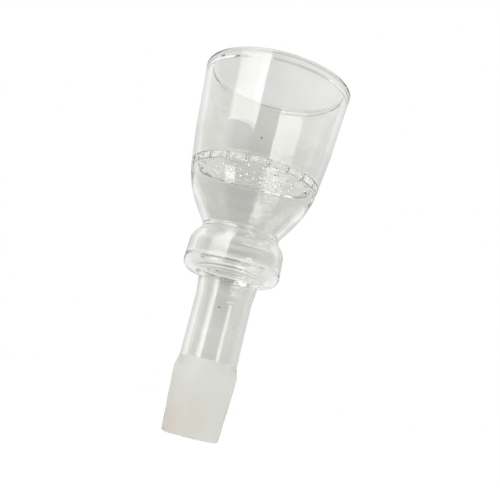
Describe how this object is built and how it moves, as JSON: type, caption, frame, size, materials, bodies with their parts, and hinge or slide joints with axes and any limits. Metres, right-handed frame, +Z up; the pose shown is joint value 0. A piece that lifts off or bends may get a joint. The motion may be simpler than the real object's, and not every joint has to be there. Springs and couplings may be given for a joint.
{
  "type": "dropping funnel",
  "caption": "Clear glass funnel: open cup over a fused perforated plate, bowl narrowing to a neck, hollow grip ring, stem and a ground standard-taper cone.",
  "frame": {"origin": "centre of the ground cone's lower end, on the common axis", "axes": "+Z up the common axis from the cone to the mouth; +X through one hole of each ring of holes in the plate"},
  "size_m": [0.046, 0.046, 0.1116],
  "materials": {
    "clear_glass": "clear drawn and blown borosilicate glass, fire polished",
    "plate_glass": "clear pressed borosilicate glass, fused round its edge",
    "ground_glass": "fine ground, matte white outside"
  },
  "bodies": {
    "root": {"cup": "clear_glass", "perforated_plate": "plate_glass", "bowl": "clear_glass", "grip_ring": "clear_glass", "stem": "clear_glass", "ground_cone": "ground_glass"}
  },
  "joints": []
}
